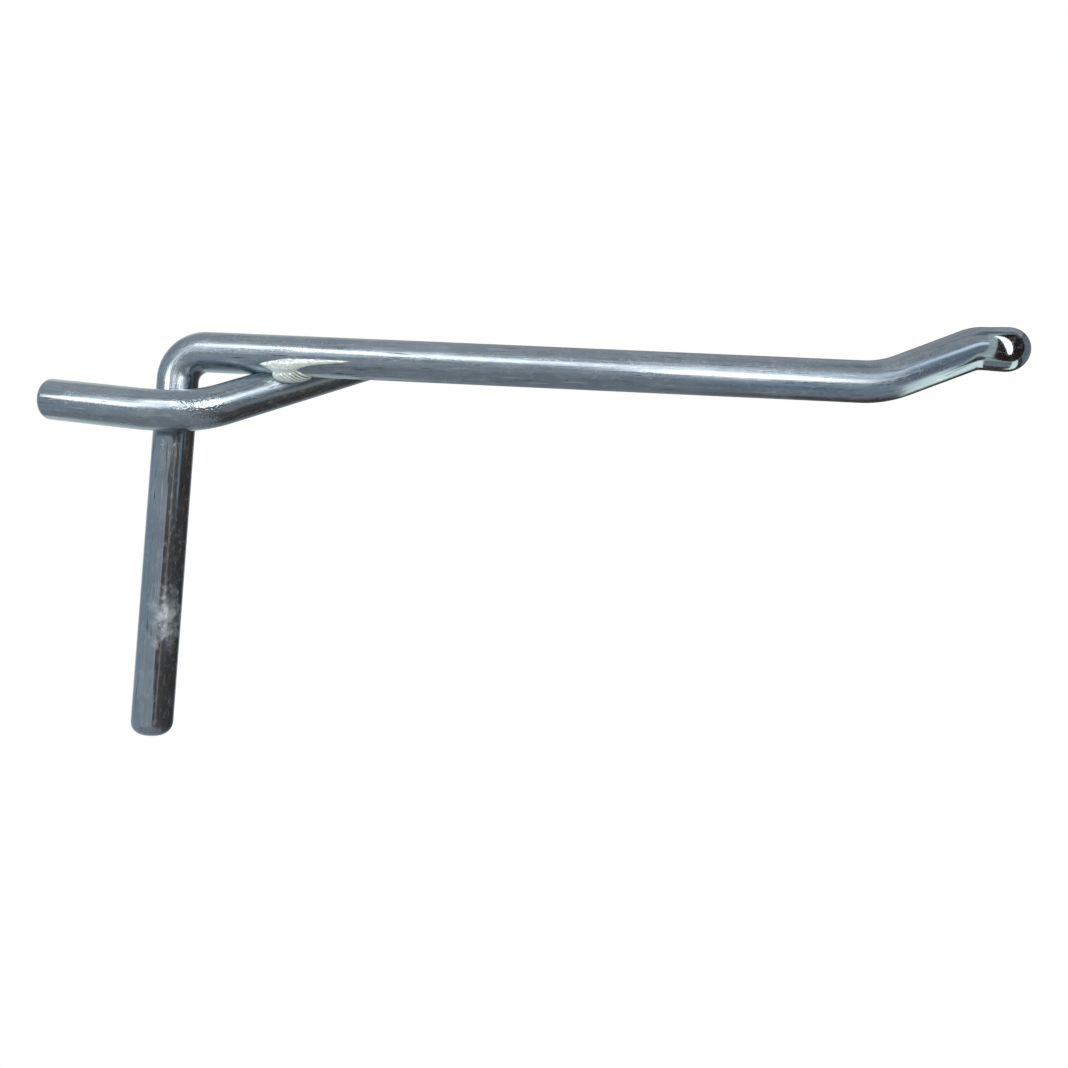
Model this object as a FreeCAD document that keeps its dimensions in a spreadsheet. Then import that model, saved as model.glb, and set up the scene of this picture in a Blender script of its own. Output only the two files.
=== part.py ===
import FreeCAD, Part
import math
import os

import Sketcher

# Pegboard hook: two bent round wires and the weld that joins them, in millimetres.
# The frame has +X out of the board along the arm, +Z up and +Y to the side away from the peg.
# The origin is the point of the peg's axis that lies in the plane of the board's front face.

DRIVING_SIZES = (
    ("wire_diameter", 6.0, "diameter of both wires"),
    ("bend_reach", 105.9, "board face to the corner where the arm turns up"),
    ("leg_length", 57.2, "arm axis to the lower end of the leg"),
    ("leg_bend_radius", 4.4, "axis radius of the bend between leg and arm"),
    ("leg_end_round", 2.1, "rounding of the leg's lower end"),
    ("tip_slope", 23.7, "angle of the raised tip above the arm, degrees"),
    ("tip_bend_radius", 14.0, "axis radius of the bend at the foot of the tip"),
    ("nose_rise", 5.45, "height of the level nose above the arm"),
    ("nose_bend_radius", 5.0, "axis radius of the bend into the nose"),
    ("nose_length", 4.45, "corner of the nose's bend to the centre of the ball end"),
    ("ball_swell", 0.2, "diameter of the ball end over that of the wire"),
    ("neck_blend", 1.5, "blend between the nose and the ball"),
    ("peg_length", 14.7, "peg from the board face to its back end"),
    ("peg_end_round", 0.9, "rounding of the sheared ends of the peg wire"),
    ("peg_tip", 7.06, "angle between the peg and the run past the leg, degrees"),
    ("peg_tip_ahead", 1.0, "board face to the corner of the bend between them"),
    ("peg_tip_radius", 16.0, "axis radius of that slight bend"),
    ("cross_ahead", 7.9, "run past the leg, from corner to corner"),
    ("cross_bend_radius", 9.0, "axis radius of the bend into the cross run"),
    ("cross_turn", 48.14, "angle between the arm and the cross run, degrees"),
    ("cross_roll", 33.24, "angle of the peg wire's plane above level, degrees"),
    ("cross_length", 30.0, "corner of its bend to the far end of the cross run"),
    ("peg_clearance", 0.1, "gap between the peg and the side of the leg"),
    ("weld_sink", 1.1, "depth to which the cross run is set into the arm"),
    ("bead_length", 9.2, "weld bead along the seam"),
    ("bead_width", 4.2, "weld bead across the seam"),
    ("bead_height", 3.8, "weld bead measured square to the seam"),
)

# Values that follow from the driving sizes. The peg wire is flat, in a plane rolled about X, so its
# cross run meets the arm where the plane does. The seam is the line of contact between the wires:
# it halves their angle, and the weld lies in the groove beside it.
LAYOUT = (
    ("wire_radius", "sizes.wire_diameter / 2"),
    ("largest_round", "0.9 * layout.wire_radius"),
    ("ball_radius", "(sizes.wire_diameter + sizes.ball_swell) / 2"),
    ("nose_corner", "sizes.bend_reach + sizes.nose_rise / tan(sizes.tip_slope)"),
    ("ball_reach", "layout.nose_corner + sizes.nose_length"),
    ("run_drop", "sizes.peg_tip_ahead * sin(sizes.peg_tip)"),
    ("side_offset", "sizes.wire_diameter + sizes.peg_clearance"
                    " - layout.run_drop * cos(sizes.cross_roll)"),
    ("axis_distance", "sizes.wire_diameter - sizes.weld_sink"),
    ("arm_height", "(layout.axis_distance + layout.side_offset * sin(sizes.cross_roll))"
                   " / cos(sizes.cross_roll)"),
    ("cross_corner", "sizes.peg_tip_ahead * cos(sizes.peg_tip) + sizes.cross_ahead"),
    ("weld_climb", "layout.run_drop + layout.side_offset * cos(sizes.cross_roll)"
                   " + layout.arm_height * sin(sizes.cross_roll)"),
    ("seam_turn", "sizes.cross_turn / 2"),
    ("groove_offset", "sqrt(layout.wire_radius * sizes.weld_sink) / cos(layout.seam_turn)"),
    ("groove_ahead", "layout.groove_offset * sin(layout.seam_turn)"),
    ("groove_below", "layout.groove_offset * cos(layout.seam_turn)"),
    ("bead_x", "layout.cross_corner + layout.weld_climb / tan(sizes.cross_turn) + layout.groove_ahead"),
    ("bead_y", "layout.side_offset + layout.axis_distance / 2 * sin(sizes.cross_roll)"
               " - layout.groove_below * cos(sizes.cross_roll)"),
    ("bead_z", "layout.arm_height - layout.axis_distance / 2 * cos(sizes.cross_roll)"
               " - layout.groove_below * sin(sizes.cross_roll)"),
)

# Sketch references: the plane's own axes and origin, and the ends and centre of an element.
X_AXIS, Y_AXIS = range(-1, -3, -1)
START, END, CENTRE = range(1, 4)
ORIGIN = (X_AXIS, START)

RING_TOLERANCE = 0.01

doc = FreeCAD.newDocument("pegboard_hook")


def make_sizes():
    """Write the driving sizes to a sheet, and bind the values that follow from them beside it."""
    sheet = doc.addObject("Spreadsheet::Sheet", "sizes")
    for row, (alias, value, note) in enumerate(DRIVING_SIZES, start=1):
        sheet.set(f"A{row}", note)
        sheet.set(f"B{row}", str(value))
        sheet.setAlias(f"B{row}", alias)
    doc.recompute()
    layout = doc.addObject("App::VarSet", "layout")
    for name, expression in LAYOUT:
        layout.addProperty("App::PropertyFloat", name)
        layout.setExpression(name, expression)
        doc.recompute()
    return sheet, layout


def make_body(name):
    """Add an empty body and return it with its origin planes by role."""
    body = doc.addObject("PartDesign::Body", name)
    body.Label = name
    planes = {feature.Role: feature for feature in body.Origin.OriginFeatures}
    return body, planes


def make_sketch(body, plane, name):
    """Add a sketch on one of the body's own origin planes."""
    sketch = body.newObject("Sketcher::SketchObject", name)
    sketch.AttachmentSupport = [(plane, "")]
    sketch.MapMode = "FlatFace"
    return sketch


def point(x, y):
    """A point in a sketch's own plane."""
    return FreeCAD.Vector(x, y, 0)


def tie(sketch, kind, *references):
    """Add a constraint that has no size."""
    sketch.addConstraint(Sketcher.Constraint(kind, *references))


def bind(sketch, kind, references, value, expression):
    """Add a dimension to the sketch and bind it to the sheet."""
    index = sketch.addConstraint(Sketcher.Constraint(kind, *references, value))
    sketch.setExpression(f"Constraints[{index}]", expression)


def draw_corner_mark(sketch, corner, run_before, run_after):
    """Mark the point where two straight runs would meet if their bend were sharp."""
    mark = sketch.addGeometry(Part.Point(corner), True)
    tie(sketch, "PointOnObject", mark, START, run_before)
    tie(sketch, "PointOnObject", mark, START, run_after)
    return mark


def draw_bent_run(sketch, corners, bends):
    """Draw straight runs from corner to corner, with a tangent arc at each bend between them.

    Each bend is its axis radius and the expression that the radius is bound to.
    """
    ways = [(end - start).normalize() for start, end in zip(corners, corners[1:])]
    turns = [before.getAngle(after) for before, after in zip(ways, ways[1:])]
    setbacks = [radius * math.tan(turn / 2) for (radius, _), turn in zip(bends, turns)]
    setbacks = [0, *setbacks, 0]
    runs = []
    for index, way in enumerate(ways):
        start = corners[index] + way * setbacks[index]
        end = corners[index + 1] - way * setbacks[index + 1]
        runs.append(sketch.addGeometry(Part.LineSegment(start, end), False))
    for index, (radius, expression) in enumerate(bends):
        corner = corners[index + 1]
        way_in, way_out = ways[index], ways[index + 1]
        inward = (way_out - way_in).normalize()
        middle = corner + inward * (radius / math.cos(turns[index] / 2) - radius)
        start = corner - way_in * setbacks[index + 1]
        end = corner + way_out * setbacks[index + 1]
        arc = sketch.addGeometry(Part.Arc(start, middle, end), False)
        turns_left = way_in.cross(way_out).z > 0
        first, last = (START, END) if turns_left else (END, START)
        tie(sketch, "Tangent", runs[index], END, arc, first)
        tie(sketch, "Tangent", arc, last, runs[index + 1], START)
        bind(sketch, "Radius", (arc,), radius, expression)
    return runs


def draw_section(section, radius):
    """Draw the wire's round section, centred on the sketch's X axis."""
    normal = FreeCAD.Vector(0, 0, 1)
    circle = section.addGeometry(Part.Circle(point(radius, 0), normal, radius), False)
    tie(section, "PointOnObject", circle, CENTRE, X_AXIS)
    bind(section, "Radius", (circle,), radius, "layout.wire_radius")
    return circle


def make_pipe(body, section, path):
    """Sweep the round section along the path, keeping each run a face of its own."""
    pipe = body.newObject("PartDesign::AdditivePipe", body.Name + "_pipe")
    pipe.Refine = False
    pipe.Profile = section
    pipe.Spine = path
    doc.recompute()
    return pipe


def ring_edges(feature, radius, centres):
    """Names of the feature's edges that run once round the wire at one of the given points."""
    names = []
    for number, edge in enumerate(feature.Shape.Edges, start=1):
        if edge.Degenerated or abs(edge.Length - 2 * math.pi * radius) > RING_TOLERANCE:
            continue
        if any((edge.CenterOfMass - centre).Length < RING_TOLERANCE for centre in centres):
            names.append(f"Edge{number}")
    return names


def make_round(body, base, edges, expression, name):
    """Round or blend the named edges."""
    fillet = body.newObject("PartDesign::Fillet", name)
    fillet.Refine = False
    fillet.Base = (base, edges)
    fillet.setExpression("Radius", expression)
    doc.recompute()
    return fillet


def make_arm_wire(sheet, layout):
    """The long wire: leg against the board, arm, raised tip and level nose with its ball end.

    Its own plane is the plane of its bends, with the arm's axis along X.
    """
    body, planes = make_body("arm_wire")
    radius = layout.wire_radius
    leg_end = point(radius, -sheet.leg_length)
    leg_corner = point(radius, 0)
    tip_corner = point(sheet.bend_reach, 0)
    nose_corner = point(layout.nose_corner, sheet.nose_rise)
    ball_centre = point(layout.ball_reach, sheet.nose_rise)

    path = make_sketch(body, planes["XZ_Plane"], "arm_path")
    bends = (
        (sheet.leg_bend_radius, "sizes.leg_bend_radius"),
        (sheet.tip_bend_radius, "sizes.tip_bend_radius"),
        (sheet.nose_bend_radius, "sizes.nose_bend_radius"),
    )
    corners = (leg_end, leg_corner, tip_corner, nose_corner, ball_centre)
    leg, arm, tip, nose = draw_bent_run(path, corners, bends)
    tip_mark = draw_corner_mark(path, tip_corner, arm, tip)
    nose_mark = draw_corner_mark(path, nose_corner, tip, nose)
    tie(path, "Vertical", leg)
    tie(path, "PointOnObject", arm, START, X_AXIS)
    tie(path, "Horizontal", arm)
    tie(path, "Horizontal", nose)
    slope = math.radians(sheet.tip_slope)
    bind(path, "DistanceX", (*ORIGIN, leg, START), radius, "layout.wire_radius")
    bind(path, "DistanceY", (leg, START, *ORIGIN), sheet.leg_length, "sizes.leg_length")
    bind(path, "DistanceX", (*ORIGIN, tip_mark, START), sheet.bend_reach, "sizes.bend_reach")
    bind(path, "Angle", (X_AXIS, START, tip, START), slope, "sizes.tip_slope * 1 deg")
    bind(path, "DistanceY", (*ORIGIN, nose, END), sheet.nose_rise, "sizes.nose_rise")
    bind(path, "DistanceX", (nose_mark, START, nose, END), sheet.nose_length, "sizes.nose_length")

    section = make_sketch(body, planes["XY_Plane"], "arm_section")
    section.setExpression("AttachmentOffset.Base.z", "-sizes.leg_length")
    circle = draw_section(section, radius)
    bind(section, "DistanceX", (*ORIGIN, circle, CENTRE), radius, "layout.wire_radius")
    make_pipe(body, section, path)

    ball = body.newObject("PartDesign::AdditiveSphere", "ball_end")
    ball.setExpression("Radius", "layout.ball_radius")
    ball.setExpression("Placement.Base.x", "layout.ball_reach")
    ball.setExpression("Placement.Base.z", "sizes.nose_rise")
    doc.recompute()

    neck_x = layout.ball_reach - math.sqrt(layout.ball_radius ** 2 - radius ** 2)
    neck_centre = FreeCAD.Vector(neck_x, 0, sheet.nose_rise)
    neck = make_round(body, ball, ring_edges(ball, radius, [neck_centre]), "sizes.neck_blend", "neck")
    leg_centre = FreeCAD.Vector(radius, 0, -sheet.leg_length)
    leg_ring = ring_edges(neck, radius, [leg_centre])
    make_round(body, neck, leg_ring, "min(sizes.leg_end_round; layout.largest_round)", "leg_round")
    body.setExpression("Placement.Base.y", "layout.side_offset")
    body.setExpression("Placement.Base.z", "layout.arm_height")
    return body


def make_peg_rod(sheet, layout):
    """The short wire before welding: peg, the run past the leg, and the cross run under the arm.

    It is drawn flat with the peg along X, then turned so that the run past the leg is level and
    along the arm, and rolled about that direction.
    """
    body, planes = make_body("peg_rod")
    tip = math.radians(sheet.peg_tip)
    turn = tip + math.radians(sheet.cross_turn)
    peg_end = point(-sheet.peg_length, 0)
    tip_corner = point(sheet.peg_tip_ahead, 0)
    cross_corner = tip_corner + point(math.cos(tip), math.sin(tip)) * sheet.cross_ahead
    cross_end = cross_corner + point(math.cos(turn), math.sin(turn)) * sheet.cross_length

    path = make_sketch(body, planes["XY_Plane"], "peg_path")
    bends = (
        (sheet.peg_tip_radius, "sizes.peg_tip_radius"),
        (sheet.cross_bend_radius, "sizes.cross_bend_radius"),
    )
    corners = (peg_end, tip_corner, cross_corner, cross_end)
    peg, past_leg, cross = draw_bent_run(path, corners, bends)
    tip_mark = draw_corner_mark(path, tip_corner, peg, past_leg)
    cross_mark = draw_corner_mark(path, cross_corner, past_leg, cross)
    tie(path, "PointOnObject", peg, START, X_AXIS)
    tie(path, "Horizontal", peg)
    bind(path, "DistanceX", (peg, START, *ORIGIN), sheet.peg_length, "sizes.peg_length")
    bind(path, "DistanceX", (*ORIGIN, tip_mark, START), sheet.peg_tip_ahead, "sizes.peg_tip_ahead")
    bind(path, "Angle", (X_AXIS, START, past_leg, START), tip, "sizes.peg_tip * 1 deg")
    bind(path, "Distance", (tip_mark, START, cross_mark, START), sheet.cross_ahead, "sizes.cross_ahead")
    bind(path, "Angle", (X_AXIS, START, cross, START), turn, "(sizes.peg_tip + sizes.cross_turn) * 1 deg")
    bind(path, "Distance", (cross_mark, START, cross, END), sheet.cross_length, "sizes.cross_length")

    section = make_sketch(body, planes["YZ_Plane"], "peg_section")
    section.setExpression("AttachmentOffset.Base.z", "-sizes.peg_length")
    circle = draw_section(section, layout.wire_radius)
    tie(section, "PointOnObject", circle, CENTRE, Y_AXIS)
    pipe = make_pipe(body, section, path)

    sheared_ends = ring_edges(pipe, layout.wire_radius, [peg_end, cross_end])
    make_round(body, pipe, sheared_ends, "min(sizes.peg_end_round; layout.largest_round)", "peg_rounds")
    body.setExpression(
        "Placement",
        "placement(vector(0; 0; 0); rotation(vector(1; 0; 0); sizes.cross_roll * 1 deg)"
        " * rotation(vector(0; 0; 1); -sizes.peg_tip * 1 deg))",
    )
    doc.recompute()
    return body


def make_bead_form():
    """The weld metal's outer form: an ellipsoid laid along the groove between the two wires."""
    form = doc.addObject("Part::Ellipsoid", "bead_form")
    form.setExpression("Radius1", "sizes.bead_height / 2")
    form.setExpression("Radius2", "sizes.bead_length / 2")
    form.setExpression("Radius3", "sizes.bead_width / 2")
    form.setExpression(
        "Placement",
        "placement(vector(layout.bead_x; layout.bead_y; layout.bead_z);"
        " rotation(vector(1; 0; 0); sizes.cross_roll * 1 deg)"
        " * rotation(vector(0; 0; 1); layout.seam_turn * 1 deg))",
    )
    doc.recompute()
    return form


def make_cut(name, base, tool):
    """Take one shape out of another."""
    cut = doc.addObject("Part::Cut", name)
    cut.Label = name
    cut.Refine = False
    cut.Base = base
    cut.Tool = tool
    doc.recompute()
    return cut


def check_document(pieces):
    """Stop if any object failed to build, or a finished piece isn't one valid solid."""
    for item in doc.Objects:
        if "Invalid" in item.State or "Error" in item.State:
            raise RuntimeError(f"{item.Label} failed: {item.State}")
    for piece in pieces:
        if piece.Shape.isNull() or not piece.Shape.isValid() or len(piece.Shape.Solids) != 1:
            raise RuntimeError(f"{piece.Label} is not one valid solid")


sheet, layout = make_sizes()
arm_wire = make_arm_wire(sheet, layout)
peg_rod = make_peg_rod(sheet, layout)
peg_wire = make_cut("peg_wire", peg_rod, arm_wire)
bead_on_arm = make_cut("bead_on_arm", make_bead_form(), arm_wire)
weld_bead = make_cut("weld_bead", bead_on_arm, peg_rod)

finished = (arm_wire, peg_wire, weld_bead)
check_document(finished)
os.makedirs("parts", exist_ok=True)
for piece in finished:
    piece.Shape.exportStep(os.path.join("parts", piece.Label + ".step"))
    print(piece.Label, "volume", round(piece.Shape.Volume, 2), "mm3")
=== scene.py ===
import math

import bmesh
import bpy
from mathutils import Matrix, Vector


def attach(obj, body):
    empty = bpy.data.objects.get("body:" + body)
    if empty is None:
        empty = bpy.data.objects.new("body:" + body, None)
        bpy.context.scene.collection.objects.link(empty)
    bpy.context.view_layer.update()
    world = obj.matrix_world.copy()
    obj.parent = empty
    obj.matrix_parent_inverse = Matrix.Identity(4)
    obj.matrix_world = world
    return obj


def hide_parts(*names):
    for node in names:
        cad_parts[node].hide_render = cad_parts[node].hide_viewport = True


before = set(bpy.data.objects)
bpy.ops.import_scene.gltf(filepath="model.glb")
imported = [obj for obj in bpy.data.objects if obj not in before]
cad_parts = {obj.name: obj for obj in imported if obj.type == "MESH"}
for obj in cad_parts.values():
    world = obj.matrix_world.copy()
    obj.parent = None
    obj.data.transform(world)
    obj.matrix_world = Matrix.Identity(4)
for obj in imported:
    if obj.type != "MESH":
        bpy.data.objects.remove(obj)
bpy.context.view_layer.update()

bl_info = {
    "name": "Pegboard hook",
    "version": (1, 0, 0),
    "blender": (4, 5, 0),
    "location": "3D View > Sidebar > Hook",
    "description": "Models a welded wire pegboard hook over its solids, and its studio",
    "category": "Object",
}

MM = 0.001
QUARTER = math.pi / 2

# The wires' meshes: points round a ring, steps of a rounded end and longest step of a straight run.
RING_POINTS = 64
ROUND_STEPS = 8
RUN_STEP = 8 * MM


def linear(hex_text):
    """The linear colour of an sRGB hex value."""
    channels = [int(hex_text[place:place + 2], 16) / 255 for place in (1, 3, 5)]
    return [c / 12.92 if c <= 0.04045 else ((c + 0.055) / 1.055) ** 2.4 for c in channels] + [1.0]


def length(name, description, millimetres):
    """A length that shows in the panel, given in millimetres."""
    return bpy.props.FloatProperty(
        name=name, description=description, default=millimetres * MM, unit="LENGTH", precision=4)


def angle(name, description, degrees):
    """An angle that shows in the panel, given in degrees."""
    return bpy.props.FloatProperty(
        name=name, description=description, default=math.radians(degrees), subtype="ANGLE")


def colour(name, description, hex_text):
    """A colour that shows in the panel, given as an sRGB hex value."""
    return bpy.props.FloatVectorProperty(
        name=name, description=description, default=linear(hex_text), size=4,
        subtype="COLOR", min=0.0, max=1.0)


def position(name, description, metres):
    """A place that shows in the panel, given in metres."""
    return bpy.props.FloatVectorProperty(
        name=name, description=description, default=metres, subtype="TRANSLATION",
        unit="LENGTH", precision=5)


class HookWires(bpy.types.PropertyGroup):
    """Sizes of the two wires, as in the solids."""

    radius: length("Wire radius", "Half the diameter of both wires", 3.0)
    arm_side: length("Arm side", "Plane of the arm wire, from the peg's axis", 5.9972)
    arm_height: length("Arm height", "Axis of the arm above the peg's axis", 9.789)
    leg_length: length("Leg", "Arm axis to the lower end of the leg", 57.2)
    leg_bend: length("Leg bend", "Axis radius of the bend between leg and arm", 4.4)
    leg_round: length("Leg end", "Rounding of the leg's lower end", 2.1)
    bend_reach: length("Reach to the tip", "Board face to the foot of the raised tip", 105.9)
    tip_slope: angle("Tip slope", "Angle of the raised tip above the arm", 23.7)
    tip_bend: length("Tip bend", "Axis radius of the bend at the foot of the tip", 14.0)
    nose_rise: length("Nose rise", "Height of the level nose above the arm", 5.45)
    nose_bend: length("Nose bend", "Axis radius of the bend into the nose", 5.0)
    nose_length: length("Nose length", "Corner of the nose's bend to the centre of the ball", 4.45)
    ball_radius: length("Ball", "Radius of the ball end", 3.1)
    peg_length: length("Peg", "Board face to the back end of the peg", 14.7)
    peg_round: length("Peg end", "Rounding of the sheared ends", 0.9)
    peg_tip: angle("Peg tip", "Angle between the peg and the run past the leg", 7.06)
    peg_tip_ahead: length("Peg corner", "Board face to the corner of that slight bend", 1.0)
    peg_tip_bend: length("Peg tip bend", "Axis radius of that slight bend", 16.0)
    cross_ahead: length("Run past the leg", "From corner to corner", 7.9)
    cross_bend: length("Cross bend", "Axis radius of the bend into the cross run", 9.0)
    cross_turn: angle("Cross turn", "Angle between the arm and the cross run", 48.14)
    cross_roll: angle("Cross roll", "Angle of the peg wire's plane above level", 33.24)
    cross_length: length("Cross run", "Corner of its bend to its far end", 30.0)


class HookWeld(bpy.types.PropertyGroup):
    """Sizes of the weld between the wires."""

    bead_centre: position(
        "Bead", "Middle of the bead, in the groove between the wires", (0.0209, 0.0058, 0.00745))
    bead_half: length("Bead half length", "Middle of the bead to each of its ends", 3.4)
    bead_radius: length("Bead radius", "Radius of the bead at its middle", 1.65)
    bead_ripple: length("Bead ripple", "Distance from ripple to ripple along the bead", 0.9)
    melt: length("Melt", "Grain at which bead and tail flow together", 0.09)


class HookFinish(bpy.types.PropertyGroup):
    """Colours of the plating and the weld."""

    zinc: colour("Zinc", "Blue-grey of the plating", "#8E9AA4")
    zinc_pale: colour("Pale zinc", "Plating where the draw lines are burnished", "#B4BEC6")
    zinc_bare: colour("Rubbed zinc", "Plating where it is rubbed or specked", "#C9CFD2")
    zinc_dark: colour("Dark zinc", "Plating in the open draw lines and scratches", "#4E565E")
    weld: colour("Weld", "Pale plated weld metal", "#EAF5EF")
    # Painted shade: this dark colour is laid in the weld's ripple hollows, low on its lower right,
    # where shade falls.
    weld_shade: colour("Weld hollows", "Oxide in the weld's hollows", "#59605E")


class HookStage(bpy.types.PropertyGroup):
    """Camera and lamps."""

    eye: position("Camera", "Place of the camera", (0.07162, -0.15221, -0.020996))
    look: bpy.props.FloatVectorProperty(
        name="Camera angles", description="Turn of the camera", subtype="EULER",
        default=[math.radians(degrees) for degrees in (92.3467, -3.5377, 4.8479)])
    lens: bpy.props.FloatProperty(
        name="Lens", description="Focal length over a 36 mm frame", default=36 * 1100 / 1068,
        unit="CAMERA")
    lamp_power: bpy.props.FloatProperty(
        name="Lamps", description="Power that each lamp takes its own share of", default=1.1,
        unit="POWER")


def add_node(tree, kind, values=None, **settings):
    """Add a node with its settings, and fill its inputs with values or links."""
    node = tree.nodes.new(kind)
    for name, value in settings.items():
        setattr(node, name, value)
    for socket, value in (values or {}).items():
        if isinstance(value, bpy.types.NodeSocket):
            tree.links.new(value, node.inputs[socket])
        else:
            node.inputs[socket].default_value = value
    return node


def calculate(tree, operation, *values):
    """The result of one sum on values or links."""
    return add_node(tree, "ShaderNodeMath", dict(enumerate(values)), operation=operation).outputs[0]


def map_range(tree, value, low=0.0, high=1.0, to_low=0.0, to_high=1.0):
    """A value carried over from one range to another, and held at both ends."""
    return add_node(tree, "ShaderNodeMapRange", {
        "Value": value, "From Min": low, "From Max": high, "To Min": to_low, "To Max": to_high,
    }).outputs["Result"]


def mix_values(tree, factor, first, second):
    """A value between two others."""
    return add_node(
        tree, "ShaderNodeMix", {"Factor": factor, "A": first, "B": second}).outputs["Result"]


def mix_colours(tree, factor, first, second):
    """A colour between two others."""
    return add_node(
        tree, "ShaderNodeMix", {"Factor": factor, "A": first, "B": second},
        data_type="RGBA").outputs[2]


def map_place(tree, place, scale, **others):
    """A place scaled along each axis, and turned or moved by the mapping's other inputs."""
    return add_node(
        tree, "ShaderNodeMapping", {"Vector": place, "Scale": scale, **others}).outputs[0]


def noise(tree, place, scale, detail, roughness=0.5):
    """Cloudy noise over a place."""
    return add_node(tree, "ShaderNodeTexNoise", {
        "Vector": place, "Scale": scale, "Detail": detail, "Roughness": roughness,
    }).outputs["Fac"]


def new_material(name):
    """An empty node material and its tree."""
    material = bpy.data.materials.new(name)
    material.use_nodes = True
    material.node_tree.nodes.clear()
    return material, material.node_tree


def metal_surface(tree, **inputs):
    """Close a material's tree with a shader that has these inputs, named with _ for spaces."""
    values = {name.replace("_", " "): value for name, value in inputs.items()}
    shader = add_node(tree, "ShaderNodeBsdfPrincipled", values)
    add_node(tree, "ShaderNodeOutputMaterial", {"Surface": shader.outputs[0]})


class Wire:
    """A round wire drawn out ring by ring in edit mode, from its start to its end.

    Each ring keeps its place on the straight wire, in millimetres, so that draw lines follow bends.
    """

    def __init__(self, name, start, way, face_radius):
        bpy.ops.object.select_all(action="DESELECT")
        turn = way.to_track_quat("Z", "Y")
        bpy.ops.mesh.primitive_circle_add(
            vertices=RING_POINTS, radius=face_radius, fill_type="NGON",
            location=start, rotation=turn.to_euler())
        self.piece = bpy.context.object
        self.piece.name = name
        self.piece.data.name = name
        bpy.ops.object.transform_apply(location=True, rotation=True, scale=True)
        bpy.ops.object.mode_set(mode="EDIT")
        self.centre = start.copy()
        self.way = way.normalized()
        self.along = 0.0
        self.radius = face_radius
        mesh = bmesh.from_edit_mesh(self.piece.data)
        place = mesh.verts.layers.float_vector.new("wire_place")
        mesh.verts.layers.float.new("strain")
        for vert in mesh.verts:
            across = turn.inverted() @ (vert.co - start)
            vert[place] = Vector((0, across.x, across.y)) / MM
        bmesh.update_edit_mesh(self.piece.data)

    def mark(self, swell=1.0, outside=None, stretch=0.0):
        """Note on the new ring its place along the wire, and how far its outside is stretched."""
        mesh = bmesh.from_edit_mesh(self.piece.data)
        place = mesh.verts.layers.float_vector["wire_place"]
        strain = mesh.verts.layers.float["strain"]
        for vert in mesh.verts:
            if not vert.select:
                continue
            old = vert[place]
            vert[place] = Vector((self.along / MM, old.y * swell, old.z * swell))
            vert[strain] = 0.0
            if outside is not None:
                # Most on the outside of the bend, and none over its inner third.
                lean = (vert.co - self.centre).normalized().dot(outside)
                vert[strain] = stretch * max(0.0, min(1.0, 0.35 + 0.65 * lean))
        bmesh.update_edit_mesh(self.piece.data)

    def shift(self, move, radius=None):
        """Draw the wire on by any small move, and give the new ring its radius."""
        bpy.ops.mesh.extrude_region_move(
            TRANSFORM_OT_translate={"value": move, "orient_type": "GLOBAL"})
        self.centre = self.centre + move
        self.along += move.length
        swell = 1.0
        if radius is not None and abs(radius - self.radius) > 1e-6 * MM:
            swell = radius / self.radius
            bpy.ops.transform.resize(value=(swell, swell, swell), center_override=self.centre)
            self.radius = radius
        self.mark(swell)

    def step(self, distance, radius=None):
        """Draw the wire straight on, and give the new ring its radius."""
        self.shift(self.way * distance, radius)

    def run(self, distance):
        """Draw a straight run in a few steps."""
        steps = max(1, round(distance / RUN_STEP))
        for _ in range(steps):
            self.step(distance / steps)

    def bend(self, radius, turn, axis, steps):
        """Bend the wire about an axis, to the right hand of it."""
        inward = axis.cross(self.way).normalized() * math.copysign(1, turn)
        hub = self.centre + inward * radius
        step = turn / steps
        swing = Matrix.Rotation(step, 3, axis)
        # A tight bend through a large angle stretches the skin most, and most at its middle.
        most = min(1.0, abs(turn) * 6 * MM / radius)
        for index in range(steps):
            bpy.ops.mesh.spin(steps=1, angle=-step, center=hub, axis=axis)
            self.centre = hub + swing @ (self.centre - hub)
            self.way = (swing @ self.way).normalized()
            self.along += radius * abs(step)
            self.mark(outside=(self.centre - hub).normalized(),
                      stretch=math.sin(math.pi * (index + 1) / steps) * most)

    def open_round(self, rounding, full_radius):
        """Round the start: from its flat face out to the full radius."""
        for index in range(ROUND_STEPS):
            before, after = (QUARTER * place / ROUND_STEPS for place in (index, index + 1))
            self.step(rounding * (math.cos(before) - math.cos(after)),
                      full_radius - rounding * (1 - math.sin(after)))

    def close_round(self, rounding):
        """Round the end: from the full radius in to its flat face."""
        full_radius = self.radius
        for index in range(ROUND_STEPS):
            before, after = (QUARTER * place / ROUND_STEPS for place in (index, index + 1))
            self.step(rounding * (math.sin(after) - math.sin(before)),
                      full_radius - rounding * (1 - math.cos(after)))

    def close(self, material):
        """Merge and turn out the faces of the mesh, and shade it."""
        bpy.ops.mesh.select_all(action="SELECT")
        bpy.ops.mesh.remove_doubles(threshold=0.001 * MM)
        bpy.ops.mesh.normals_make_consistent(inside=False)
        bpy.ops.object.mode_set(mode="OBJECT")
        bpy.ops.object.shade_smooth_by_angle(angle=math.radians(40))
        self.piece.data.materials.append(material)

    def install(self, node):
        """Put the piece in the place of its solid."""
        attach(self.piece, "root")
        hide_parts(node)


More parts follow.
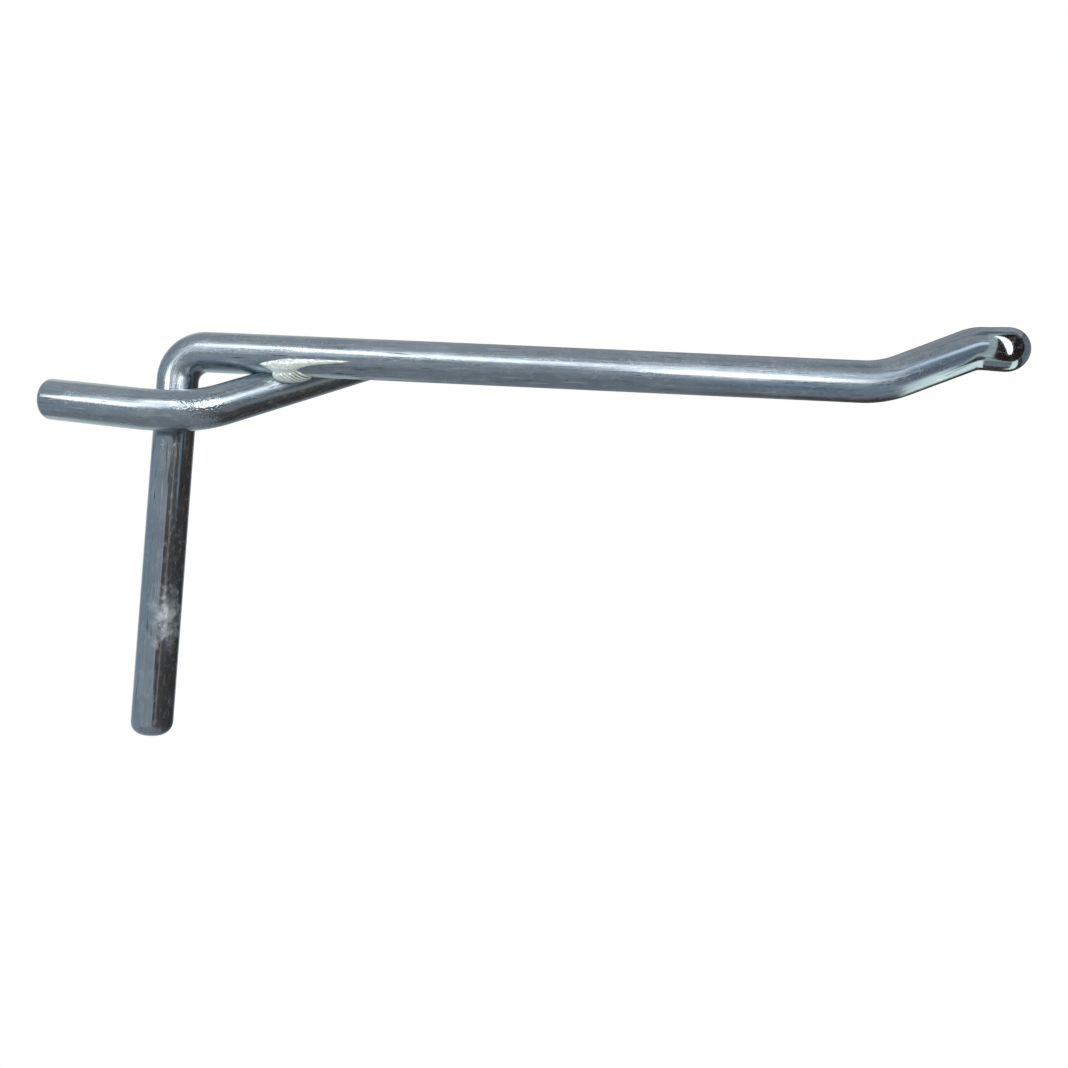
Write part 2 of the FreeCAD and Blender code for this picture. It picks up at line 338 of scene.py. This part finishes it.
def plated_zinc(name, finish, bend_grain, satin_end, smooth_until=0.0, smooth_from=999.0,
                scuff=(0.0, 0.0, 0.0), rubbing=0.0):
    """Bright zinc plating over cold-drawn wire.

    The die leaves fine lines along the wire, which smear every reflection round it, and the bright
    plating stays mirror-like between them. Where a bend stretched the wire, its skin is grained,
    by the share bend_grain. Lengths are in millimetres along the wire: the tumbled end is satin
    up to satin_end, and up to smooth_until and again past smooth_from the lines are burnished
    away, until the far end is like a mirror. Round the point scuff, use has rubbed the plating
    matt, by the share rubbing.
    """
    material, tree = new_material(name)
    place = add_node(tree, "ShaderNodeAttribute", attribute_name="wire_place").outputs["Vector"]
    stretch = add_node(tree, "ShaderNodeAttribute", attribute_name="strain").outputs["Fac"]
    strain = calculate(tree, "MULTIPLY", stretch, bend_grain)
    along = add_node(tree, "ShaderNodeSeparateXYZ", {0: place}).outputs["X"]
    drawn = map_range(tree, along, smooth_until, smooth_until + 10.0)
    lines = map_range(tree, along, smooth_from, smooth_from + 10.0, drawn, 0.0)
    dull = map_range(tree, along, smooth_from, smooth_from + 15.0, drawn, 0.0)

    # Draw lines about 0.3 mm wide, coarser than real ones so that they show, and 14 mm long.
    fine = noise(tree, map_place(tree, place, (0.07, 3.2, 3.2)), 1.0, 3.0, 0.6)
    # Wider burnished bands, about 1 mm by 60 mm.
    band = noise(tree, map_place(tree, place, (0.016, 0.9, 0.9)), 1.0, 2.0)
    # Short open scratches, 0.3 mm by 6 mm, and pale ones beside them.
    nick = noise(tree, map_place(tree, place, (0.16, 3.0, 3.0), Location=(7.0, 3.0, 5.0)), 1.0, 3.0)
    nicks = map_range(tree, nick, 0.65, 0.72)
    rubs = map_range(tree, nick, 0.36, 0.28)
    # Cloudy plating in patches of about 4 mm, grain of about 0.3 mm, and a fine broken mottle.
    cloud = noise(tree, place, 0.25, 4.0)
    grain = noise(tree, place, 3.2, 3.0)
    mottle = noise(tree, map_place(tree, place, (0.9, 1.6, 1.6)), 1.0, 6.0, 0.7)
    specks = map_range(tree, mottle, 0.52, 0.78, to_high=0.3)
    # One rubbed patch about 6 mm long with a broken edge.
    ragged = noise(tree, place, 0.8, 5.0)
    spot = map_place(tree, add_node(tree, "ShaderNodeTexCoord").outputs["Object"],
                     (1 / MM, 1 / MM, 0.6 / MM))
    near = add_node(tree, "ShaderNodeVectorMath", {0: spot, 1: scuff},
                    operation="DISTANCE").outputs["Value"]
    rough_edge = calculate(tree, "MULTIPLY_ADD", ragged, 7.0, near)
    patch = map_range(tree, rough_edge, 6.4, 3.4, to_high=rubbing)
    worn = calculate(tree, "MAXIMUM", specks, calculate(tree, "MULTIPLY", patch, mottle))

    tone = map_range(tree, mix_values(tree, band, fine, cloud), 0.3, 0.75)
    plate = mix_colours(tree, tone, finish.zinc, finish.zinc_pale)
    rubbed = mix_colours(tree, rubs, plate, finish.zinc_bare)
    scored = mix_colours(tree, nicks, rubbed, finish.zinc_dark)
    skin = mix_colours(tree, worn, scored, finish.zinc_bare)
    metal = map_range(tree, worn, to_low=1.0, to_high=0.35)

    # Rough along the draw lines and on the satin end, less so where stretched, most where worn.
    lined = map_range(tree, fine, 0.3, 0.7, 0.22, 0.36)
    drawn_rough = mix_values(tree, dull, 0.12, lined)
    end_rough = map_range(tree, along, satin_end / 3, satin_end, 0.4, 0.0)
    base_rough = calculate(tree, "MAXIMUM", end_rough, drawn_rough)
    bent_rough = calculate(tree, "MULTIPLY_ADD", strain, -0.16, base_rough)
    rough = calculate(tree, "MULTIPLY_ADD", worn, 0.45, bent_rough)

    line_height = calculate(tree, "MULTIPLY_ADD", nicks, -0.8, fine)
    grain_height = calculate(tree, "MULTIPLY", grain, strain)
    grained = calculate(tree, "MULTIPLY_ADD", grain_height, 16.0, line_height)
    height = calculate(tree, "MULTIPLY_ADD", specks, 0.5, grained)
    bump = add_node(tree, "ShaderNodeBump",
                    {"Height": height, "Distance": 0.012 * MM,
                     "Strength": map_range(tree, lines, to_low=0.3)})
    metal_surface(tree, Base_Color=skin, Metallic=metal, Roughness=rough, Normal=bump.outputs[0])
    return material


def plated_weld(name, finish):
    """Weld metal under the same plating.

    It froze in ripples and was never drawn, so it is bright and pale; its ripple hollows low on its
    lower right are darkened with painted shade.
    """
    material, tree = new_material(name)
    place = add_node(tree, "ShaderNodeTexCoord").outputs["Object"]
    # Ripples about 0.45 mm apart, and swells of about 0.6 mm.
    ripple_way = map_place(tree, place, (1 / MM, 1 / MM, 1 / MM),
                           Rotation=(0, math.radians(48), math.radians(24)))
    ripple = add_node(tree, "ShaderNodeTexWave", {
        "Vector": ripple_way, "Scale": 0.7, "Distortion": 3.0, "Detail": 1.0}).outputs["Fac"]
    swell = noise(tree, ripple_way, 1.5, 2.0)
    # Painted shade: the ripple hollows are darkened, only low in the groove and ahead of the bead's
    # start.
    spot = add_node(tree, "ShaderNodeSeparateXYZ", {0: place})
    low = map_range(tree, spot.outputs["Z"], 7.8 * MM, 6.8 * MM)
    low_right_shade = map_range(tree, spot.outputs["X"], 19.0 * MM, 21.5 * MM, to_high=low)
    painted_shade_mask = calculate(tree, "MULTIPLY", low_right_shade, map_range(tree, ripple, 0.25, 0.05))
    # The weld colour is mixed toward the painted shade in those hollows.
    metal = mix_colours(tree, painted_shade_mask, finish.weld, finish.weld_shade)
    height = calculate(tree, "MULTIPLY_ADD", painted_shade_mask, -0.3, swell)
    bump = add_node(tree, "ShaderNodeBump",
                    {"Height": height, "Distance": 0.4 * MM, "Strength": 1.0})
    rough = map_range(tree, swell, to_low=0.1, to_high=0.35)
    metal_surface(tree, Base_Color=metal, Metallic=0.45, Roughness=rough, Normal=bump.outputs[0])
    return material


class HOOK_OT_arm_wire(bpy.types.Operator):
    """Draw the arm wire: leg, arm, raised tip and ball end"""

    bl_idname = "hook.arm_wire"
    bl_label = "Arm wire"

    def execute(self, context):
        wires = context.scene.hook_wires
        radius = wires.radius
        side = Vector((0, 1, 0))
        start = Vector((radius, wires.arm_side, wires.arm_height - wires.leg_length))
        wire = Wire("arm_wire_drawn", start, Vector((0, 0, 1)), radius - wires.leg_round)
        wire.open_round(wires.leg_round, radius)
        wire.run(wires.leg_length - wires.leg_round - wires.leg_bend)
        wire.bend(wires.leg_bend, QUARTER, side, steps=20)

        slope = wires.tip_slope
        foot_setback = wires.tip_bend * math.tan(slope / 2)
        nose_setback = wires.nose_bend * math.tan(slope / 2)
        wire.run(wires.bend_reach - radius - wires.leg_bend - foot_setback)
        wire.bend(wires.tip_bend, -slope, side, steps=14)
        wire.run(wires.nose_rise / math.sin(slope) - foot_setback - nose_setback)
        wire.bend(wires.nose_bend, slope, side, steps=10)

        # The nose swells evenly into the ball, which closes ring by ring to a small flat pole.
        ball = wires.ball_radius
        nose = wires.nose_length - nose_setback
        swell_steps = 8
        for index in range(1, swell_steps + 1):
            part = index / swell_steps
            ease = part * part * (3 - 2 * part)
            wire.step(nose / swell_steps, radius + (ball - radius) * ease)
        pole = QUARTER * 0.98
        ball_steps = 24
        for index in range(1, ball_steps + 1):
            before = pole * (index - 1) / ball_steps
            after = pole * index / ball_steps
            wire.step(ball * (math.sin(after) - math.sin(before)), ball * math.cos(after))
        wire.close(plated_zinc(
            "zinc_plated_arm", context.scene.hook_finish, bend_grain=0.25, satin_end=3.2,
            smooth_until=46.0, smooth_from=159.0, scuff=(5.2, 3.8, -18.0), rubbing=1.3))
        wire.install("arm_wire")
        return {"FINISHED"}


class HOOK_OT_peg_wire(bpy.types.Operator):
    """Draw the peg wire: peg, the run past the leg and the cross run under the arm"""

    bl_idname = "hook.peg_wire"
    bl_label = "Peg wire"

    def execute(self, context):
        wires = context.scene.hook_wires
        radius = wires.radius
        roll = Matrix.Rotation(wires.cross_roll, 3, "X")
        axis = roll @ Vector((0, 0, 1))
        way = roll @ Vector((math.cos(wires.peg_tip), -math.sin(wires.peg_tip), 0))
        tip_setback = wires.peg_tip_bend * math.tan(wires.peg_tip / 2)
        cross_setback = wires.cross_bend * math.tan(wires.cross_turn / 2)
        wire = Wire("peg_wire_drawn", way * -wires.peg_length, way, radius - wires.peg_round)
        wire.open_round(wires.peg_round, radius)
        wire.run(wires.peg_length - wires.peg_round + wires.peg_tip_ahead - tip_setback)
        wire.bend(wires.peg_tip_bend, wires.peg_tip, axis, steps=4)
        wire.run(wires.cross_ahead - tip_setback - cross_setback)
        wire.bend(wires.cross_bend, wires.cross_turn, axis, steps=16)
        wire.run(wires.cross_length - cross_setback - wires.peg_round)
        wire.close_round(wires.peg_round)
        wire.close(plated_zinc(
            "zinc_plated_peg", context.scene.hook_finish, bend_grain=1.0, satin_end=1.2))
        wire.install("peg_wire")
        return {"FINISHED"}


# The weld runs out along the arm's near side in a flat ridge with a long tail:
# millimetres along the arm, degrees from level, half width in millimetres.
WELD_TAIL = (
    (16.1, -38, 0.12), (16.8, -40, 0.5), (17.8, -43, 0.9), (18.9, -45, 1.2),
    (20.0, -43, 1.3), (21.2, -38, 1.1), (22.4, -31, 0.78), (23.6, -27, 0.58),
    (25.0, -24.6, 0.46), (26.6, -22.7, 0.37), (28.4, -20.8, 0.27), (30.2, -18, 0.1),
)
# Share of the tail's half width by which its middle is sunk below the arm's skin.
TAIL_SINK = 0.55


class HOOK_OT_weld_bead(bpy.types.Operator):
    """Lay the rippled weld bead in the groove between the wires"""

    bl_idname = "hook.weld_bead"
    bl_label = "Weld bead"

    def execute(self, context):
        wires = context.scene.hook_wires
        weld = context.scene.hook_weld
        roll = Matrix.Rotation(wires.cross_roll, 3, "X")
        seam = wires.cross_turn / 2
        along_seam = roll @ Vector((math.cos(seam), math.sin(seam), 0))
        start = weld.bead_centre - along_seam * weld.bead_half
        bead = Wire("weld_bead_laid", start, along_seam, 0.25 * MM)
        steps = 40
        for index in range(1, steps + 1):
            before = -math.cos(math.pi * (index - 1) / steps) * weld.bead_half
            after = -math.cos(math.pi * index / steps) * weld.bead_half
            part = after / (weld.bead_half * 1.01)
            outline = weld.bead_radius * math.sqrt(1 - part * part)
            ripple = 1 + 0.012 * math.sin(after / weld.bead_ripple * 2 * math.pi)
            bead.step(after - before, max(0.2 * MM, outline * ripple))
        material = plated_weld("plated_weld_metal", context.scene.hook_finish)
        bead.close(material)

        arm = Vector((0, wires.arm_side, wires.arm_height))
        spine = []
        for reach, degrees, half in WELD_TAIL:
            lean = math.radians(degrees)
            out = Vector((0, -math.cos(lean), math.sin(lean)))
            from_axis = wires.radius - TAIL_SINK * half * MM
            spine.append((arm + Vector((reach * MM, 0, 0)) + out * from_axis, half * MM))
        tail = Wire("weld_tail_laid", spine[0][0], Vector((1, 0, 0)), spine[0][1])
        for (before, _), (after, half) in zip(spine, spine[1:]):
            tail.shift(after - before, half)
        tail.close(material)

        # Bead and tail flow together.
        bpy.ops.object.select_all(action="DESELECT")
        tail.piece.select_set(True)
        bead.piece.select_set(True)
        context.view_layer.objects.active = bead.piece
        bpy.ops.object.join()
        melt = bead.piece.modifiers.new("melt", "REMESH")
        melt.mode = "VOXEL"
        melt.voxel_size = weld.melt
        bpy.ops.object.modifier_apply(modifier=melt.name)
        flow = bead.piece.modifiers.new("flow", "SMOOTH")
        flow.factor = 0.5
        flow.iterations = 30
        bpy.ops.object.modifier_apply(modifier=flow.name)
        bpy.ops.object.shade_smooth()
        bead.install("weld_bead")
        return {"FINISHED"}


STUDIO_CENTRE = Vector((0.05, 0.005, 0.0))

# The light tent, seen only as reflections: name, span of azimuth and elevation in degrees,
# distance in metres, colour, strength.
TENT_CARDS = (
    ("tent_front", (-45, 45, -45, 45), 1.60, "#C2C7CC", 0.84),
    ("tent_right", (45, 135, -45, 45), 1.60, "#B8BDC2", 0.50),
    ("tent_back", (135, 225, -45, 45), 1.60, "#C0C6CA", 0.62),
    ("tent_left", (-135, -45, -45, 45), 1.60, "#BCC8D2", 0.80),
    ("tent_top", (-45, 45, 45, 135), 1.60, "#C6CACE", 0.90),
    ("tent_floor", (-45, 45, -135, -45), 1.60, "#BEC3C8", 0.62),
    ("flag_front", (12, 24, -11, 6), 1.30, "#665C56", 1.0),
    ("flag_right_near", (22, 72, -46, 34), 1.25, "#625A56", 1.0),
    ("flag_right", (70, 122, -56, 34), 1.25, "#544E4B", 1.0),
    ("flag_right_far", (120, 168, -60, 34), 1.25, "#4C4744", 1.0),
    ("line_left", (6, 12, -12, 6), 1.20, "#E0DEE2", 0.75),
    ("line_right", (33, 41, -30, 10), 1.20, "#BCB8B8", 0.6),
    ("window_right", (20, 48, 12, 30), 1.15, "#FFFFFF", 12.0),
    ("streak_right", (52, 74, 22, 28), 1.15, "#F4F6F6", 6.0),
    ("shade_top", (34, 84, 42, 76), 1.20, "#A0A6AA", 0.8),
    ("pale_back", (196, 236, -50, 50), 1.40, "#DCE8E2", 1.1),
)

# Close to the tip: a pale card and a slate one under it, a shade that keeps the window off its
# slope and a soft glow before that, and by the ball a dark oval with a pale rim, a bright slot
# and a grey side: name, centre and two full sides in millimetres, colour, strength, kind.
TIP_CARDS = (
    ("tip_pale", (156, 15, -36), (28, 0, 0), (0, 84, 0), "#E4EEE6", 2.0, "plain"),
    ("tip_slate", (140, -50, -40), (110, 0, 0), (0, 80, 0), "#6E7A86", 1.7, "plain"),
    ("tip_shade", (141.3, -47.8, 20.5), (39.8, 23, 0), (-5.5, 9.5, 51.8), "#8A98A4", 1.05, "shade"),
    ("tip_glow", (133, -47.2, 30), (59, 10.4, 0), (-0.9, 5.2, 13), "#DCE6F0", 1.9, "plain"),
    ("ball_flag", (127.5, 0.5, 14), (13, 0, 0), (0, 0, 28), "#3A2C28", 1.0, "oval"),
    ("ball_rim", (127.5, 0.3, 13.5), (14.8, 0, 0), (0, 0, 36), "#D4E2DA", 1.0, "oval"),
    ("ball_slot", (122.4, 0.6, 16.4), (1.6, 0, -9), (1.1, 0, 0.2), "#FFFFFF", 4.0, "oval"),
    ("ball_side", (134, 5, 16), (0, 22, 0), (0, 0, 16), "#9AA2AA", 0.8, "plain"),
)

# The main lamp is a strip that falls from upper left to lower right beside the camera, and two
# small ones go on from it close to the tip and to the peg: name, place, aim and size in
# millimetres, slant and spread in degrees, share of the power.
LAMPS = (
    ("strip_lamp", (-92.5, -500, 227), (50, 5, 0), (385, 75), 40, 180, 0.62),
    ("tip_lamp", (93, -60, 2), (93, 6, 9), (40, 12), 16, 36, 0.0008),
    ("peg_lamp", (-33, -37, 9.5), (-7, 0, 3), (44, 8), 0, 24, 0.00026),
)


def towards(azimuth, elevation):
    """A direction from the hook: azimuth 0 is the camera's side, 90 the tip's side, in radians."""
    level = math.cos(elevation)
    return Vector((math.sin(azimuth) * level, -math.cos(azimuth) * level, math.sin(elevation)))


def place_card(name, centre, across, rise, hex_text, strength, kind="plain"):
    """A card that shows only in reflections, from its centre and its two full sides.

    It gives an even light of its own. An oval one fills the ellipse between its sides, and a
    shade one also casts a shadow.
    """
    bpy.ops.object.select_all(action="DESELECT")
    turn = Matrix((across.normalized(), rise.normalized(),
                   across.cross(rise).normalized())).transposed()
    if kind == "oval":
        bpy.ops.mesh.primitive_circle_add(
            vertices=48, radius=0.5, fill_type="NGON", location=centre, rotation=turn.to_euler())
    else:
        bpy.ops.mesh.primitive_plane_add(size=1.0, location=centre, rotation=turn.to_euler())
    card = bpy.context.object
    card.name = name
    card.scale = (across.length, rise.length, 1.0)
    bpy.ops.object.transform_apply(location=True, rotation=True, scale=True)
    material, tree = new_material(name + "_face")
    glow = add_node(tree, "ShaderNodeEmission", {"Color": linear(hex_text), "Strength": strength})
    add_node(tree, "ShaderNodeOutputMaterial", {"Surface": glow.outputs[0]})
    card.data.materials.append(material)
    card.visible_camera = False
    card.visible_shadow = kind == "shade"
    card.visible_diffuse = False


def span_card(name, span, distance, hex_text, strength):
    """A card at a distance, over a span of azimuth and elevation in degrees."""
    left, right, low, high = (math.radians(degrees) for degrees in span)
    azimuth = (left + right) / 2
    elevation = (low + high) / 2
    middle = towards(azimuth, elevation)
    level = Vector((math.cos(azimuth), math.sin(azimuth), 0))
    # Azimuths draw together higher up, but a card overhead or underfoot keeps its full width.
    wide = math.cos(elevation) if abs(elevation) < 1.2 else 1.0
    across = level * 2 * distance * math.tan((right - left) / 2) * wide
    rise = middle.cross(level) * -2 * distance * math.tan((high - low) / 2)
    place_card(name, STUDIO_CENTRE + middle * distance, across, rise, hex_text, strength)


def place_lamp(name, place, aim, size, slant, spread, power):
    """A rectangular lamp that looks from its place at its aim, with its long side at a slant."""
    light = bpy.data.lights.new(name, "AREA")
    light.shape = "RECTANGLE"
    light.size, light.size_y = (side * MM for side in size)
    light.spread = math.radians(spread)
    light.energy = power
    lamp = bpy.data.objects.new(name, light)
    back = (Vector(place) - Vector(aim)).normalized()
    across = Vector((math.cos(math.radians(slant)), 0, -math.sin(math.radians(slant))))
    across = (across - back * across.dot(back)).normalized()
    turn = Matrix((across, back.cross(across), back)).transposed()
    lamp.location = Vector(place) * MM
    lamp.rotation_euler = turn.to_euler()
    lamp.visible_camera = False
    bpy.context.scene.collection.objects.link(lamp)


def seen_directly(tree):
    """1 for what the camera, mirrors and glass see, and 0 for what lights the rest."""
    path = add_node(tree, "ShaderNodeLightPath").outputs
    seen = calculate(tree, "MAXIMUM", path["Is Camera Ray"], path["Is Glossy Ray"])
    return calculate(tree, "MAXIMUM", seen, path["Is Transmission Ray"])


class HOOK_OT_stage(bpy.types.Operator):
    """Set the floor, the light tent, the lamps and the camera"""

    bl_idname = "hook.stage"
    bl_label = "Studio"

    def execute(self, context):
        scene = context.scene
        stage = scene.hook_stage
        scene.view_settings.view_transform = "Standard"

        # White all round where it is seen; a plain grey level lights the rest.
        world = bpy.data.worlds.new("studio_white")
        scene.world = world
        world.use_nodes = True
        tree = world.node_tree
        tree.nodes.clear()
        level = map_range(tree, seen_directly(tree), to_low=0.9, to_high=1.0)
        sky = add_node(tree, "ShaderNodeBackground", {"Color": (1, 1, 1, 1), "Strength": level})
        add_node(tree, "ShaderNodeOutputWorld", {"Surface": sky.outputs[0]})

        # A pale floor, under the light tent.
        bpy.ops.object.select_all(action="DESELECT")
        bpy.ops.mesh.primitive_plane_add(size=12.0, location=(0, 0, -2.0))
        floor = context.object
        floor.name = "studio_floor"
        bpy.ops.object.transform_apply(location=True, rotation=True, scale=True)
        material, tree = new_material("pale_floor")
        paint = add_node(tree, "ShaderNodeBsdfDiffuse", {"Color": linear("#E8E8E6")})
        white = add_node(tree, "ShaderNodeEmission", {"Color": (1, 1, 1, 1), "Strength": 1.0})
        mix = add_node(tree, "ShaderNodeMixShader",
                       {0: seen_directly(tree), 1: paint.outputs[0], 2: white.outputs[0]})
        add_node(tree, "ShaderNodeOutputMaterial", {"Surface": mix.outputs[0]})
        floor.data.materials.append(material)

        for card in TENT_CARDS:
            span_card(*card)
        for name, *sides, hex_text, strength, kind in TIP_CARDS:
            place_card(name, *(Vector(side) * MM for side in sides), hex_text, strength, kind)
        for *setting, share in LAMPS:
            place_lamp(*setting, share * stage.lamp_power)

        view = bpy.data.cameras.new("photo_camera")
        view.lens = stage.lens
        view.sensor_width = 36
        view.clip_start = 0.01
        camera = bpy.data.objects.new("photo_camera", view)
        camera.location = stage.eye
        camera.rotation_euler = stage.look
        scene.collection.objects.link(camera)
        scene.camera = camera
        return {"FINISHED"}


GROUPS = (
    ("hook_wires", HookWires),
    ("hook_weld", HookWeld),
    ("hook_finish", HookFinish),
    ("hook_stage", HookStage),
)
OPERATORS = (HOOK_OT_arm_wire, HOOK_OT_peg_wire, HOOK_OT_weld_bead, HOOK_OT_stage)


class HOOK_PT_panel(bpy.types.Panel):
    """Steps that make the hook, and its settings"""

    bl_idname = "HOOK_PT_panel"
    bl_label = "Pegboard hook"
    bl_space_type = "VIEW_3D"
    bl_region_type = "UI"
    bl_category = "Hook"

    def draw(self, context):
        for operator in OPERATORS:
            self.layout.operator(operator.bl_idname)
        for name, group in GROUPS:
            box = self.layout.box()
            for setting in group.__annotations__:
                box.prop(getattr(context.scene, name), setting)


def register():
    for name, group in GROUPS:
        bpy.utils.register_class(group)
        setattr(bpy.types.Scene, name, bpy.props.PointerProperty(type=group))
    for operator in OPERATORS:
        bpy.utils.register_class(operator)
    bpy.utils.register_class(HOOK_PT_panel)


def unregister():
    bpy.utils.unregister_class(HOOK_PT_panel)
    for operator in reversed(OPERATORS):
        bpy.utils.unregister_class(operator)
    for name, group in reversed(GROUPS):
        delattr(bpy.types.Scene, name)
        bpy.utils.unregister_class(group)


def main():
    register()
    bpy.ops.hook.arm_wire()
    bpy.ops.hook.peg_wire()
    bpy.ops.hook.weld_bead()
    bpy.ops.hook.stage()


if __name__ == "__main__":
    main()
